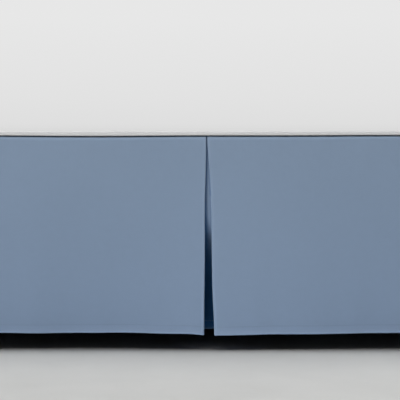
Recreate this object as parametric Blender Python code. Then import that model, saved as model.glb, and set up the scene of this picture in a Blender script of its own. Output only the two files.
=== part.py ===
"""Tailored bed skirt, queen size, on a plain bed base.

The skirt is a flat deck that lies on the base, with a straight drop sewn to its rim along the foot and
along each long side. Every drop is one strip of cloth with an inverted box pleat at its middle: the strip
folds behind itself at each lip of the pleat, runs back, folds again and crosses behind as the underlay.
The foot is towards -Y, the head towards +Y, and the floor is Z = 0. Lengths are in metres.
"""

import math

import bpy
import bmesh
from mathutils import Vector

# Bed base
BASE_WIDTH = 1.510
BASE_LENGTH = 2.020
BASE_HEIGHT = 0.165
BASE_EDGE_RADIUS = 0.010
BASE_EDGE_STEPS = 4
LEG_HEIGHT = 0.222
LEG_TOP_RADIUS = 0.026
LEG_FOOT_RADIUS = 0.019
LEG_INSET = 0.120
LEG_SIDES = 24
TOUCH_GAP = 0.0003

# Deck
DECK_THICKNESS = 0.0014
RIM_DEPTH = 0.0080
RIM_BEND = 0.0043
RIM_BEND_STEPS = 4
DECK_CORNER_RADIUS = 0.0080
DECK_CORNER_STEPS = 4
RIM_STEPS_ON_LONG_SIDE = 20
RIM_STEPS_ON_FOOT = 16

# Drops
DROP_THICKNESS = 0.0012
HEM_THICKNESS = 0.0020
HEM_BAND = 0.015
DROP_LENGTH = 0.3525
PLEAT_DIP = 0.0025
BASE_CLEARANCE = 0.0022
LAYER_PITCH = 0.0024
FLARE_AT_HEM = 0.012
FLARE_REACH = 0.25
RETURN_DEPTH = 0.095
UNDERLAY_LIFT = 0.0025
FOLD_STEPS = 6
FOLD_EASE_AT_HEM = 0.0016
CORNER_SPLIT = 0.0050
CORNER_REACH = 0.12
END_TUCK = 0.0012

# How a pleat opens: depth below the seam, how far its left and its right lip stand from its middle line,
# and how far the underlay swings back under the base.
PLEAT = (
    (0.000, 0.0012, 0.0012, 0.000),
    (0.034, 0.0016, 0.0029, 0.000),
    (0.079, 0.0020, 0.0059, 0.000),
    (0.139, 0.0026, 0.0079, 0.000),
    (0.168, 0.0029, 0.0084, 0.001),
    (0.194, 0.0031, 0.0088, 0.009),
    (0.221, 0.0032, 0.0091, 0.018),
    (0.255, 0.0036, 0.0095, 0.026),
    (0.293, 0.0040, 0.0100, 0.031),
    (DROP_LENGTH, 0.0045, 0.0128, 0.034),
)

# Where a front panel has its columns, as fractions of the way from the lip to the panel's end.
PANEL_COLUMNS = (0.012, 0.05, 0.11, 0.19, 0.29, 0.40, 0.52, 0.65, 0.78, 0.90, 0.97, 1.0)
RETURN_COLUMNS = (0.25, 0.60, 0.92)
UNDERLAY_COLUMNS = (0.04, 0.27, 0.50, 0.73, 0.96)

# Height of the waves that the panels and the seam show, with the length and the phase of each.
PANEL_WAVES = ((0.0015, 0.62, 0.4), (0.0008, 0.33, 1.9))
SEAM_WAVES = ((0.0009, 0.90, -0.2), (0.0003, 0.36, 2.1))

# Faces that meet at more than this angle keep a sharp edge.
SHARP_ANGLE = math.radians(45)

# Levels that follow from the sizes above
BASE_BOTTOM = LEG_HEIGHT + TOUCH_GAP
BASE_TOP = BASE_BOTTOM + BASE_HEIGHT
DECK_TOP = BASE_TOP + TOUCH_GAP + DECK_THICKNESS
SEAM_HEIGHT = DECK_TOP - RIM_DEPTH
UNDERLAY_OUT = BASE_CLEARANCE + DROP_THICKNESS / 2
PANEL_OUT = UNDERLAY_OUT + 2 * LAYER_PITCH
RIM_OUT = PANEL_OUT + DROP_THICKNESS / 2 - DECK_THICKNESS / 2

# The foot has a drop and the head has none, so the base sits a little towards the head.
FOOT_REACH = PANEL_OUT + FLARE_AT_HEM + HEM_THICKNESS / 2
BASE_CENTRE_Y = FOOT_REACH / 2


class Side:
    """One side of the bed: where the middle of the base's edge is, which way it runs and which way is out."""

    def __init__(self, middle, run, length, phase):
        self.middle = Vector(middle)
        self.run = Vector(run)
        self.out = self.run.cross(Vector((0, 0, 1)))
        self.length = length
        self.phase = phase

    def point(self, run, out, height):
        return self.middle + self.run * run + self.out * out + Vector((0, 0, height))


HALF_WIDTH = BASE_WIDTH / 2
HALF_LENGTH = BASE_LENGTH / 2
FOOT = Side((0, BASE_CENTRE_Y - HALF_LENGTH, 0), (1, 0, 0), BASE_WIDTH, 0.0)
RIGHT = Side((HALF_WIDTH, BASE_CENTRE_Y, 0), (0, 1, 0), BASE_LENGTH, 2.2)
LEFT = Side((-HALF_WIDTH, BASE_CENTRE_Y, 0), (0, -1, 0), BASE_LENGTH, 4.1)


def waves(table, run, phase):
    """The sum of a table of sine waves along a side."""
    total = 0.0
    for height, length, turn in table:
        total += height * math.sin(2 * math.pi * run / length + turn + phase)
    return total


def bell(distance, reach):
    """1 at no distance, falling smoothly to nothing past the reach."""
    return math.exp(-((distance / reach) ** 2))


def seam_height(side, run):
    """Height of the seam between deck and drop, level at the ends of the side and slightly wavy between."""
    away_from_end = 1 - bell(side.length / 2 - abs(run), CORNER_REACH)
    return SEAM_HEIGHT + away_from_end * waves(SEAM_WAVES, run, side.phase)


def pleat_at(depth):
    """Left lip, right lip and swing of a pleat at a depth below the seam, from its table."""
    for upper, lower in zip(PLEAT, PLEAT[1:]):
        if depth <= lower[0]:
            share = (depth - upper[0]) / (lower[0] - upper[0])
            return tuple(a + share * (b - a) for a, b in zip(upper[1:], lower[1:]))
    return PLEAT[-1][1:]


def panel_out(side, run, fall):
    """How far a front panel's middle stands out from the base; fall is 0 at the seam and 1 at the hem."""
    near_pleat = bell(run, FLARE_REACH)
    near_end = bell(side.length / 2 - abs(run), CORNER_REACH)
    uneven = fall * (1 - near_pleat) * (1 - near_end) * waves(PANEL_WAVES, run, side.phase)
    return PANEL_OUT + FLARE_AT_HEM * fall**2 * near_pleat + CORNER_SPLIT * fall * near_end + uneven


def half_turn(run, front, pitch, facing, lift):
    """Points round a fold, from one layer to the next behind it, bulging along the run the way it faces."""
    radius = pitch / 2
    for step in range(FOLD_STEPS + 1):
        angle = math.pi * step / FOLD_STEPS
        yield run + facing * radius * (math.sin(angle) - 1), front - radius * (1 - math.cos(angle)), lift


def half_strip(side, fall, sign, lip, end, underlay_out):
    """From the end of a front panel, round its lip, slanting back behind it and round the fold behind.

    The return keeps its cut depth along the slant, so its fold comes closer to the lip as the pleat opens.
    """
    points = []
    for fraction in reversed(PANEL_COLUMNS):
        run = sign * (lip + fraction * (end - lip))
        points.append((run, panel_out(side, run, fall), 0.0))
    front = panel_out(side, sign * lip, fall)
    pitch = LAYER_PITCH + FOLD_EASE_AT_HEM * fall**2
    points.extend(half_turn(sign * lip, front, pitch, -sign, 0.0))
    return_start = front - pitch
    return_stop = underlay_out + pitch
    back_fold = lip + math.sqrt(RETURN_DEPTH**2 - (return_start - return_stop) ** 2)
    for fraction in RETURN_COLUMNS:
        run = sign * (lip + fraction * (back_fold - lip))
        points.append((run, return_start + fraction * (return_stop - return_start), fraction))
    points.extend(half_turn(sign * back_fold, return_stop, pitch, sign, 1.0))
    return points


def strip_section(side, fall, ends):
    """Points (run, out, lift) of the strip across one level, from the left end to the right end.

    lift is 1 where the cloth is the underlay, whose hem hangs a little higher, and 0 in the front panels.
    """
    left_lip, right_lip, swing = pleat_at(fall * DROP_LENGTH)
    underlay_out = UNDERLAY_OUT - swing
    left = half_strip(side, fall, -1, left_lip, ends[0], underlay_out)
    right = half_strip(side, fall, 1, right_lip, ends[1], underlay_out)
    start = left[-1][0]
    stop = right[-1][0]
    underlay = [(start + fraction * (stop - start), underlay_out, 1.0) for fraction in UNDERLAY_COLUMNS]
    return left + underlay + right[::-1]


def plain_material(name, colour, roughness):
    material = bpy.data.materials.new(name)
    material.use_nodes = True
    shader = material.node_tree.nodes["Principled BSDF"]
    shader.inputs["Base Color"].default_value = (*colour, 1.0)
    shader.inputs["Roughness"].default_value = roughness
    shader.inputs["Metallic"].default_value = 0.0
    return material


def new_object(name, bm, material):
    mesh = bpy.data.meshes.new(name)
    bm.to_mesh(mesh)
    bm.free()
    mesh.materials.append(material)
    obj = bpy.data.objects.new(name, mesh)
    bpy.context.scene.collection.objects.link(obj)
    return obj


def skin(bm, rows):
    """Fills the faces between rows of vertices that run from left to right and follow each other down."""
    for upper, lower in zip(rows, rows[1:]):
        for a, b, c, d in zip(upper, lower, lower[1:], upper[1:]):
            bm.faces.new((a, b, c, d))


def shade_smooth(obj):
    obj.data.shade_smooth()
    obj.data.set_sharp_from_angle(angle=SHARP_ANGLE)


def make_drop(name, side, ends, material):
    """A drop: one strip of cloth, skinned down its levels and given its wall by Solidify."""
    bm = bmesh.new()
    falls = [row[0] / DROP_LENGTH for row in PLEAT[:-1]] + [1 - HEM_BAND / DROP_LENGTH, 1.0]
    rows = []
    for fall in falls:
        row = []
        for run, out, lift in strip_section(side, fall, ends):
            seam = seam_height(side, run) - TOUCH_GAP
            hem = SEAM_HEIGHT - DROP_LENGTH - PLEAT_DIP * bell(run, FLARE_REACH) + UNDERLAY_LIFT * lift
            row.append(bm.verts.new(side.point(run, out, seam + fall * (hem - seam))))
        rows.append(row)
    skin(bm, rows)
    bm.verts.index_update()
    in_hem = [vertex.index for vertex in rows[-2] + rows[-1]]
    obj = new_object(name, bm, material)
    obj.vertex_groups.new(name="hem").add(in_hem, 1.0, "REPLACE")
    wall = obj.modifiers.new("cloth", "SOLIDIFY")
    wall.thickness = HEM_THICKNESS
    wall.offset = 0.0
    wall.use_even_offset = True
    wall.vertex_group = "hem"
    wall.thickness_vertex_group = DROP_THICKNESS / HEM_THICKNESS
    shade_smooth(obj)


def rim_stations():
    """Places round the deck's rim, from the head's left to the head's right.

    Each is a base point, the outward way there, how far out the rim stands from it, and the seam's height.
    """
    inner_x = HALF_WIDTH + RIM_OUT - DECK_CORNER_RADIUS
    inner_y = HALF_LENGTH + RIM_OUT - DECK_CORNER_RADIUS

    def straight(side, start, stop, steps):
        for step in range(steps + 1):
            run = start + (stop - start) * step / steps
            yield side.point(run, 0, 0), side.out, RIM_OUT, seam_height(side, run)

    def corner(x, before, after):
        centre = Vector((x, BASE_CENTRE_Y - inner_y, 0))
        for step in range(1, DECK_CORNER_STEPS):
            angle = math.pi / 2 * step / DECK_CORNER_STEPS
            way = before.out * math.cos(angle) + after.out * math.sin(angle)
            yield centre, way, DECK_CORNER_RADIUS, SEAM_HEIGHT

    stations = list(straight(LEFT, -HALF_LENGTH, inner_y, RIM_STEPS_ON_LONG_SIDE))
    stations.extend(corner(-inner_x, LEFT, FOOT))
    stations.extend(straight(FOOT, -inner_x, inner_x, RIM_STEPS_ON_FOOT))
    stations.extend(corner(inner_x, FOOT, RIGHT))
    stations.extend(straight(RIGHT, -inner_y, HALF_LENGTH, RIM_STEPS_ON_LONG_SIDE))
    return stations


def make_deck(material):
    """The deck: its rim turns down over the base on three sides, and its head edge is straight."""
    bm = bmesh.new()
    flat = DECK_TOP - DECK_THICKNESS / 2
    bend = []
    for step in range(RIM_BEND_STEPS + 1):
        angle = math.pi / 2 * step / RIM_BEND_STEPS
        bend.append((RIM_BEND * (1 - math.cos(angle)), flat - RIM_BEND * (1 - math.sin(angle))))
    stations = rim_stations()
    rows = [[bm.verts.new(base + way * reach + Vector((0, 0, seam))) for base, way, reach, seam in stations]]
    for inset, height in bend:
        up = Vector((0, 0, height))
        rows.append([bm.verts.new(base + way * (reach - inset) + up) for base, way, reach, seam in stations])
    skin(bm, rows[::-1])
    bm.faces.new(rows[-1])
    obj = new_object("deck", bm, material)
    wall = obj.modifiers.new("cloth", "SOLIDIFY")
    wall.thickness = DECK_THICKNESS
    wall.offset = 0.0
    wall.use_even_offset = True
    shade_smooth(obj)


def make_base(material):
    """The bed base: a plain upholstered box with softened edges."""
    bm = bmesh.new()
    bmesh.ops.create_cube(bm, size=1.0)
    bmesh.ops.scale(bm, vec=(BASE_WIDTH, BASE_LENGTH, BASE_HEIGHT), verts=bm.verts)
    obj = new_object("bed_base", bm, material)
    obj.location = (0, BASE_CENTRE_Y, BASE_BOTTOM + BASE_HEIGHT / 2)
    edges = obj.modifiers.new("softened edges", "BEVEL")
    edges.width = BASE_EDGE_RADIUS
    edges.segments = BASE_EDGE_STEPS
    shade_smooth(obj)


def make_legs(material):
    """Six turned legs, three along each side, that taper towards the floor."""
    bm = bmesh.new()
    bmesh.ops.create_cone(
        bm,
        cap_ends=True,
        segments=LEG_SIDES,
        radius1=LEG_FOOT_RADIUS,
        radius2=LEG_TOP_RADIUS,
        depth=LEG_HEIGHT,
    )
    first = new_object("leg_foot_left", bm, material)
    shade_smooth(first)
    across = HALF_WIDTH - LEG_INSET
    along = HALF_LENGTH - LEG_INSET
    for row, y in (("foot", -along), ("middle", 0.0), ("head", along)):
        for hand, x in (("left", -across), ("right", across)):
            name = "leg_" + row + "_" + hand
            leg = first if name == first.name else bpy.data.objects.new(name, first.data)
            if leg is not first:
                bpy.context.scene.collection.objects.link(leg)
            leg.location = (x, BASE_CENTRE_Y + y, LEG_HEIGHT / 2)


def main():
    for obj in list(bpy.data.objects):
        bpy.data.objects.remove(obj, do_unlink=True)
    blue = plain_material("slate blue cloth", (0.195, 0.255, 0.345), 0.85)
    white = plain_material("white deck cloth", (0.72, 0.73, 0.74), 0.9)
    cover = plain_material("grey base cover", (0.45, 0.45, 0.46), 0.9)
    wood = plain_material("beech", (0.50, 0.36, 0.22), 0.5)
    foot_end = HALF_WIDTH + PANEL_OUT
    side_foot_end = HALF_LENGTH + PANEL_OUT - END_TUCK
    make_deck(white)
    make_drop("foot_drop", FOOT, (foot_end, foot_end), blue)
    make_drop("left_drop", LEFT, (HALF_LENGTH, side_foot_end), blue)
    make_drop("right_drop", RIGHT, (side_foot_end, HALF_LENGTH), blue)
    make_base(cover)
    make_legs(wood)


main()
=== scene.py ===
"""Looks of the tailored bed skirt and the plain bed base under it, laid out as a Blender add-on.

Every length is in metres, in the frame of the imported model: the foot of the bed is towards -Y, the head is
towards +Y and the floor is Z = 0.
"""

import math

import bpy
import numpy as np
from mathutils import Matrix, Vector


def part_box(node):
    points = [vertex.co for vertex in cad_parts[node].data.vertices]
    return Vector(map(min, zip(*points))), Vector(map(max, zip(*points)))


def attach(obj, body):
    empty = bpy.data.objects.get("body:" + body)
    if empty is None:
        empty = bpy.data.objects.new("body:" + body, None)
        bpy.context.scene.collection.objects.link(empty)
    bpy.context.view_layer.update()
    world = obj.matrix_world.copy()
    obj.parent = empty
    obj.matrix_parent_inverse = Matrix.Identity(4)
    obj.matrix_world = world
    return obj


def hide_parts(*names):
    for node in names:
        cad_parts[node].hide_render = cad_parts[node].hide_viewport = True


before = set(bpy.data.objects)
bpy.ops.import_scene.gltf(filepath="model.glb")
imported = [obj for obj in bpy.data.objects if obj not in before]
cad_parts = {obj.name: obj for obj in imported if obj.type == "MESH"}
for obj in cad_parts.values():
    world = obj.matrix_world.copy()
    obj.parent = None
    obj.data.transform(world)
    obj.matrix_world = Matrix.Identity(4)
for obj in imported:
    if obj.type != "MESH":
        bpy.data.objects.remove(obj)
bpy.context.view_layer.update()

bl_info = {
    "name": "Tailored bed skirt",
    "version": (1, 0, 0),
    "blender": (4, 5, 0),
    "location": "View3D > Sidebar > Bed skirt",
    "description": "Hangs a pleated bed skirt on a plain bed base and sets a small studio round it",
    "category": "Object",
}

# Places that the frame gives
BASE_LO, BASE_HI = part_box("bed_base")
DECK_LO, DECK_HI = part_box("deck")
HALF_WIDTH = BASE_HI.x
HALF_LENGTH = (BASE_HI.y - BASE_LO.y) / 2
BASE_CENTRE_Y = (BASE_HI.y + BASE_LO.y) / 2
DECK_TOP = DECK_HI.z
PANEL_FACE_OUT = BASE_LO.y - DECK_LO.y

# The hang of a drop, as it is cut and pleated
CAD_CLOTH = 0.0012
RIM_DEPTH = 0.0080
SEAM_HEIGHT = DECK_TOP - RIM_DEPTH
DROP_LENGTH = 0.3525
PLEAT_DIP = 0.0030
PLEAT_DIP_REACH = (0.022, 0.100)
UNDERLAY_LIFT = 0.0029
UNDERLAY_OUT = 0.0028
PANEL_OUT = PANEL_FACE_OUT - CAD_CLOTH / 2
LAYER_PITCH = 0.0024
FOLD_EASE_AT_HEM = 0.0016
FOLD_NOSE = (0.0008, 0.0020)
FOLD_NOSE_FROM = (DROP_LENGTH - 0.036, DROP_LENGTH - 0.017)
RETURN_DEPTH = 0.095
FLARE_AT_HEM = (0.0070, 0.0120)
FLARE_REACH = (0.10, 0.24)
CORNER_SPLIT = 0.0050
CORNER_REACH = 0.12
END_TUCK = 0.0012

# How a pleat opens: depth below the seam, how far its left and its right lip stand from its middle line,
# how far the underlay swings back under the base, and how far the left panel's shadow, painted into the
# cloth's colour, reaches across the underlay.
PLEAT = np.array(
    (
        (0.000, 0.0010, 0.0011, 0.000, 0.0010),
        (0.025, 0.0012, 0.0023, 0.000, 0.0016),
        (0.042, 0.0014, 0.0040, 0.000, 0.0021),
        (0.078, 0.0022, 0.0065, 0.000, 0.0026),
        (0.113, 0.0032, 0.0079, 0.000, 0.0029),
        (0.149, 0.0034, 0.0088, 0.000, 0.0045),
        (0.168, 0.0034, 0.0091, 0.001, 0.0072),
        (0.184, 0.0033, 0.0093, 0.006, 0.0085),
        (0.219, 0.0034, 0.0096, 0.018, 0.0088),
        (0.255, 0.0037, 0.0101, 0.026, 0.0092),
        (0.290, 0.0043, 0.0113, 0.031, 0.0100),
        (0.326, 0.0046, 0.0134, 0.033, 0.0100),
        (DROP_LENGTH, 0.0046, 0.0139, 0.034, 0.0100),
    )
)
PLEAT_BLEND = 0.012

# Waves of the cloth: height, length along the side, phase.
PANEL_WAVES = ((0.0015, 0.62, 0.4), (0.0008, 0.33, 1.9))
SEAM_WAVES = ((0.0006, 0.90, -0.2), (0.0003, 0.36, 2.1))
HEM_RIPPLES = ((0.00045, 0.171, 0.9), (0.00030, 0.093, 2.7), (0.00020, 0.057, 4.4))
SEAM_PUCKERS = ((0.00016, 0.041, 1.2), (0.00012, 0.027, 3.9))
# Where a hem hangs unevenly: waves, and sets with their height, place along the side and reach.
HEM_WAVE_HEIGHT = 0.0005
HEM_WAVES = ((1.0, 0.21, 0.3), (0.6, 0.127, 1.7))
HEM_SETS = ((-0.0011, 0.235, 0.045), (0.0010, 0.335, 0.045))

# The arcs of a drop's edges: radius of the roll at its seam and of the turn of its hem
SEAM_ROLL = 0.0010
HEM_TURN = 0.00055

# The deck: places of its storage creases, the height and reach of a crease, and its wrinkles with their
# height, length across the bed, length along it and phase. Its cloth rests 0.9 mm below the top of the CAD.
DECK_CREASES_ACROSS = (-0.570, -0.190, 0.190, 0.570)
DECK_CREASES_ALONG = (-0.672, -0.336, 0.000, 0.336, 0.672)
DECK_CREASE = (0.0013, 0.0075)
DECK_WRINKLES = ((0.00040, 0.41, 0.23, 0.7), (0.00034, 0.17, 0.52, 2.2), (0.00022, 0.11, 0.09, 4.6))
DECK_LEVEL = DECK_TOP - 0.0009
DECK_RIM = 0.008

# What the cloth's red, green and blue are scaled by: a little darker and warmer at its seam, lighter and
# bluer at its hem
TONE_AT_SEAM = (0.985, 0.968, 0.950)
TONE_AT_HEM = (1.045, 1.048, 1.072)
# Red, green and blue kept of the cloth's colour where painted shade turns it deep navy inside a pleat
PAINTED_PLEAT_SHADE = (0.064, 0.293, 0.56)
# Painted light and tone from numbers on the mesh: a painted highlight on the folds and along the hem's edge,
# a little lighter over the hem band, and painted shade in the seam under the rim
PAINTED_LIGHT_AND_HEM_TONE = (("crease", 0.34), ("hem", 0.035), ("seam", -0.82))

# How much painted shade darkens the deck's cloth at a crease, and on each line of its rim, outwards and down
DECK_CREASE_SHADE = 0.06
DECK_RIM_SHADE = (0.14,) * 5 + (0.08, 0.04) + (0.0,) * 5

# How many single cloths thick the doubled side hems and head hem are
SIDE_HEM_WALL = 1.7
HEAD_HEM_WALL = 1.6

# A stitch's length, width and height, and how many cloths its middle stands off the middle of the cloth
STITCH = (0.0026, 0.0006, 0.0004)
STITCH_LIFT = 0.55

# Lights for the floor alone: name, share of its light, width and lean from the head's side in degrees
FLOOR_LIGHTS = (("overhead", 0.45, 8.0, 4.0), ("ceiling", 0.55, 48.0, 8.0))
FOOT_FACE = (0.0, -1.0, 0.2)

# The stage: levels of the backdrop at heights above the horizon, and where the floor fades into it
BACKDROP = ((0.0, 0.68), (0.006, 0.735), (0.03, 0.76), (0.10, 0.80))
FLOOR_FADE = (3.5, 12.0)
FLOOR_HALF = 14.0
FLOOR_LEVEL = -0.0002

# The camera: side of the square picture, row of the foot's seam and column of its pleat, all in pixels, the
# width of the sensor in millimetres, and how far the camera stands below the top of the deck
PICTURE_SIDE = 400
SEAM_ROW = 135.55
PLEAT_COLUMN = 206.7
SENSOR = 36.0
CAMERA_BELOW_DECK = 0.002

# Mesh steps
PANEL_STEP = 0.0052
RETURN_STEPS = 14
UNDERLAY_STEPS = 33
FOLD_STEPS = 8
FIRST_ROWS = (0.0, 0.0012, 0.0026, 0.0045, 0.007, 0.0105)
DROP_STEP = 0.0085
HEM_TURN_STEPS = 5
HEM_FLAP_STEPS = 5
SEAM_ROLL_STEPS = 4
DECK_CORNER_STEPS = 6
CREASE_LINES = np.array((-0.016, -0.0105, -0.006, -0.003, 0.0, 0.003, 0.006, 0.0105, 0.016))
LEG_SIDES = 48


def size_setting(name, description, default, low, high, unit="LENGTH"):
    """A size that a user can change."""
    return bpy.props.FloatProperty(
        name=name, description=description, default=default, min=low, max=high, unit=unit
    )


def light_setting(name, description, default, unit="NONE"):
    """The strength of a light."""
    return bpy.props.FloatProperty(name=name, description=description, default=default, min=0.0, unit=unit)


def colour_setting(name, description, default):
    """A colour that a user can change."""
    return bpy.props.FloatVectorProperty(
        name=name, description=description, default=default, subtype="COLOR", min=0.0, max=1.0
    )


class SkirtSettings(bpy.types.PropertyGroup):
    """Sizes and colours of the skirt that a user would change."""

    cloth_thickness: size_setting(
        "Cloth thickness", "Thickness of the blue cloth and of the deck cloth", 0.0007, 0.0003, 0.0012
    )
    hem_depth: size_setting("Hem depth", "How far the hem is turned up on the inside", 0.015, 0.005, 0.05)
    stitch_pitch: size_setting("Stitch pitch", "Distance from one stitch to the next", 0.0034, 0.002, 0.008)
    blue: colour_setting("Skirt blue", "Colour of the drops", (0.275, 0.375, 0.530))
    white: colour_setting("Deck white", "Colour of the deck cloth", (0.79, 0.795, 0.80))
    cover: colour_setting(
        "Base cover grey", "Colour of the cloth on the sides of the bed base", (0.40, 0.40, 0.41)
    )
    beech: colour_setting("Leg wood", "Middle colour of the turned legs", (0.47, 0.32, 0.19))


class StudioSettings(bpy.types.PropertyGroup):
    """The floor, the light and the camera."""

    floor: colour_setting("Floor colour", "Colour of the plain pale floor", (0.620, 0.614, 0.592))
    daylight: light_setting("Daylight", "Strength of the even steep light from the left of the foot", 1.60)
    floor_light: light_setting(
        "Floor light", "Strength of the lights from above that only the floor takes", 2.5
    )
    key_power: light_setting("Key light", "Power of the soft light above the left of the foot", 16.5, "POWER")
    fill_power: light_setting(
        "Fill lights", "Power of the soft lights beside and behind the bed", 70.0, "POWER"
    )
    distance: size_setting(
        "Camera distance", "How far the camera stands from the face of the foot drop", 1.969, 0.5, 10.0
    )
    lens: size_setting("Lens", "Focal length of the camera in millimetres", 100.0, 20.0, 300.0, "NONE")


def settings():
    return bpy.context.scene.skirt_settings


def studio():
    return bpy.context.scene.skirt_studio


class Side:
    """One side of the bed: the middle of the base's edge, the way it runs, and the way out from the base."""

    def __init__(self, name, middle, run, half, phase, ends):
        self.name = name
        self.middle = np.array(middle, float)
        self.run = np.array(run, float)
        self.out = np.cross(self.run, (0.0, 0.0, 1.0))
        self.half = half
        self.phase = phase
        self.ends = ends

    def place(self, run, out, height):
        """World points for arrays of run, out and height: middle + run x way + out x way out + height up."""
        run, out, height = np.broadcast_arrays(run, out, height)
        up = np.array((0.0, 0.0, 1.0))
        return self.middle + run[..., None] * self.run + out[..., None] * self.out + height[..., None] * up


FOOT_END = HALF_WIDTH + PANEL_OUT
SIDE_END = HALF_LENGTH + PANEL_OUT - END_TUCK
FOOT = Side("foot", (0, BASE_CENTRE_Y - HALF_LENGTH, 0), (1, 0, 0), HALF_WIDTH, 0.0, (FOOT_END, FOOT_END))
RIGHT = Side("right", (HALF_WIDTH, BASE_CENTRE_Y, 0), (0, 1, 0), HALF_LENGTH, 2.2, (SIDE_END, HALF_LENGTH))
LEFT = Side("left", (-HALF_WIDTH, BASE_CENTRE_Y, 0), (0, -1, 0), HALF_LENGTH, 4.1, (HALF_LENGTH, SIDE_END))
SIDES = (FOOT, LEFT, RIGHT)


def waves(table, run, phase):
    """Sum over the table of height x sin(2 pi run / length + turn + phase)."""
    return sum(height * np.sin(2 * np.pi * run / length + turn + phase) for height, length, turn in table)


def bell(distance, reach):
    """exp(-(distance / reach) squared): 1 at no distance, nothing well past the reach."""
    return np.exp(-((distance / reach) ** 2))


def lopsided_bell(run, reaches):
    """A bell about the pleat's middle line that reaches further on its right than on its left."""
    return bell(run, np.where(run < 0, reaches[0], reaches[1]))


def seam_height(side, run):
    """Height of the seam: level at the ends of the side and slightly wavy between them."""
    near_end = bell(side.half - np.abs(run), CORNER_REACH)
    return SEAM_HEIGHT + (1 - near_end) * waves(SEAM_WAVES, run, side.phase)


def pleat_column(depth, column):
    """One column of the pleat's table at each depth, as the mean of readings over a short window."""
    window = np.linspace(-PLEAT_BLEND, PLEAT_BLEND, 9)
    return np.mean([np.interp(depth + shift, PLEAT[:, 0], PLEAT[:, column]) for shift in window], axis=0)


def panel_out(side, run, depth):
    """How far a front panel's middle stands out from the base: the panel's place, plus its flare, its waves
    away from the pleat and the ends, the hem's ripples, the seam's puckers and the tuck at the seam."""
    fall = depth / DROP_LENGTH
    near_pleat = lopsided_bell(run, FLARE_REACH)
    reach_out = np.where(run < 0, FLARE_AT_HEM[0], FLARE_AT_HEM[1])
    near_end = bell(side.half - np.abs(run), CORNER_REACH)
    loose = (1 - near_pleat) * (1 - near_end)
    uneven = fall * loose * waves(PANEL_WAVES, run, side.phase)
    ripples = fall**2 * (1 - near_end) * waves(HEM_RIPPLES, run, side.phase)
    puckers = bell(depth, 0.016) * waves(SEAM_PUCKERS, run, side.phase)
    tuck = -0.0014 * bell(depth, 0.0026)
    flare = reach_out * fall**2 * near_pleat + CORNER_SPLIT * fall * near_end
    return PANEL_OUT + flare + uneven + ripples + puckers + tuck


def half_strip(side, depth, sign, lip, end, underlay_out):
    """Half of a strip at each depth: front panel, lip, return and back fold, as arrays with a row for each.

    Gives run, out, layer (0 panel, 1 underlay, between them on the return) and crease (1 at a fold). A fold
    is half of an ellipse, as high as the pitch of the layers and pressed flat along the run, but rounder
    where the hem doubles the cloth; the return is a straight slant that keeps its cut depth.
    """
    count = max(8, round(end / PANEL_STEP))
    nearest, near = 0.003 / end, 0.006 / end
    columns = np.concatenate([[nearest], near + (1 - near) * np.linspace(0, 1, count)])[None, :]
    panel_run = (lip + columns * (end - lip))[:, ::-1]
    panel = panel_out(side, sign * panel_run, depth)
    front = panel_out(side, sign * lip, depth)
    pitch = LAYER_PITCH + FOLD_EASE_AT_HEM * (depth / DROP_LENGTH) ** 2
    angle = np.linspace(0, np.pi, FOLD_STEPS + 1)[None, :]
    nose = np.interp(depth, FOLD_NOSE_FROM, FOLD_NOSE) * (1 - np.sin(angle))
    fold = (pitch / 2) * (1 - np.cos(angle))
    start = front - pitch
    stop = underlay_out + pitch
    back = lip + np.sqrt(RETURN_DEPTH**2 - (start - stop) ** 2)
    share = np.linspace(0.03, 0.97, RETURN_STEPS)[None, :]
    strips = (
        (panel_run, panel, 0.0, bell(panel_run - lip, 0.0035)),
        (lip + nose, front - fold, 0.0, np.sin(angle)),
        (lip + share * (back - lip), start + share * (stop - start), share, 0.0),
        (back - nose, stop - fold, 1.0, np.sin(angle)),
    )
    even = [np.broadcast_arrays(*values) for values in strips]
    run, out, layer, crease = (np.concatenate(values, axis=1) for values in zip(*even))
    return sign * run, out, layer, crease


def strip(side, depth):
    """The whole strip at each depth in the column vector depth, from its left end to its right end.

    The underlay sags back between its folds as half a sine wave that grows with the square of the depth.
    """
    underlay_out = UNDERLAY_OUT - pleat_column(depth, 3)
    left = half_strip(side, depth, -1, pleat_column(depth, 1), side.ends[0], underlay_out)
    right = half_strip(side, depth, 1, pleat_column(depth, 2), side.ends[1], underlay_out)
    start = left[0][:, -1:]
    stop = right[0][:, -1:]
    even = np.linspace(-1, 1, UNDERLAY_STEPS)
    share = (0.5 + 0.47 * np.sign(even) * np.abs(even) ** 1.7)[None, :]
    sag = 0.0025 * np.sin(np.pi * share) * (depth / DROP_LENGTH) ** 2
    middle = np.broadcast_arrays(start + share * (stop - start), underlay_out - sag, 1.0, 0.0)
    return tuple(np.concatenate([a, b, c[:, ::-1]], axis=1) for a, b, c in zip(left, middle, right))


def painted_pleat_shade(run, depth, layer):
    """How deep in the pleat's own shade the cloth lies, as a mask for shade painted into its colour: 0 on the
    panels, up to 1 behind them.

    It is full behind both panels. Across the opening it falls off as a bell from the left lip, the left
    panel's painted shadow, and a weaker one from the right lip. Below the base it grows with the underlay's
    swing, as 1 less a bell of it.
    """
    deep = 1 - bell(pleat_column(depth, 3) / PLEAT[-1, 3], 0.42)
    past_left = run + pleat_column(depth, 1)
    past_right = run - pleat_column(depth, 2)
    lee = np.where(past_left > 0, bell(past_left, pleat_column(depth, 4)), 1.0)
    lee = np.maximum(lee, np.where(past_right < 0, 0.3 * bell(past_right, 0.0026), 1.0))
    return np.clip(layer * 4, 0, 1) * (0.06 + 0.94 * (1 - (1 - deep) * (1 - lee)))


def grid_faces(rows, columns):
    """Quads of a grid of points stored row by row, each row from left to right and the rows going down."""
    index = np.arange(rows * columns).reshape(rows, columns)
    corners = (index[:-1, :-1], index[1:, :-1], index[1:, 1:], index[:-1, 1:])
    return np.stack(corners, axis=-1).reshape(-1, 4)


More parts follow.
